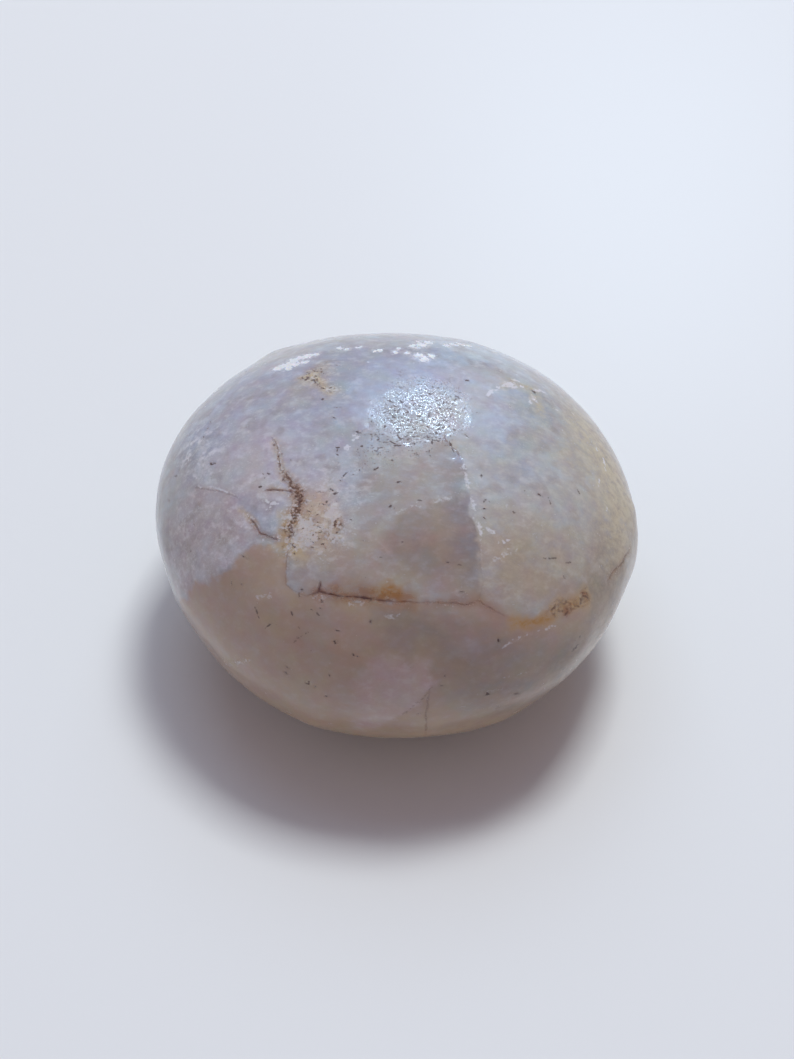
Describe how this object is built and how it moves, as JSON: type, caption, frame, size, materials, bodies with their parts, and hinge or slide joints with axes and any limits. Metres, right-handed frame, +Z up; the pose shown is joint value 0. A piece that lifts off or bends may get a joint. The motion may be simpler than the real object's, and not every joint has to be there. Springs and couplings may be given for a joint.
{
  "type": "quartz stone",
  "caption": "Smooth water-worn pebble of milky, slightly see-through quartz with cracks and rust stains, resting on a small worn flat.",
  "frame": {"origin": "on the resting flat, under the middle of the stone", "axes": "+X to the right along the stone's length, -Y to its front with the long crack, +Z up from the flat it rests on"},
  "size_m": [0.038, 0.0358, 0.0244],
  "materials": {
    "quartz": "frosted, milky and slightly translucent, with ochre stains along the cracks"
  },
  "bodies": {
    "root": {"quartz_stone": "quartz"}
  },
  "joints": []
}
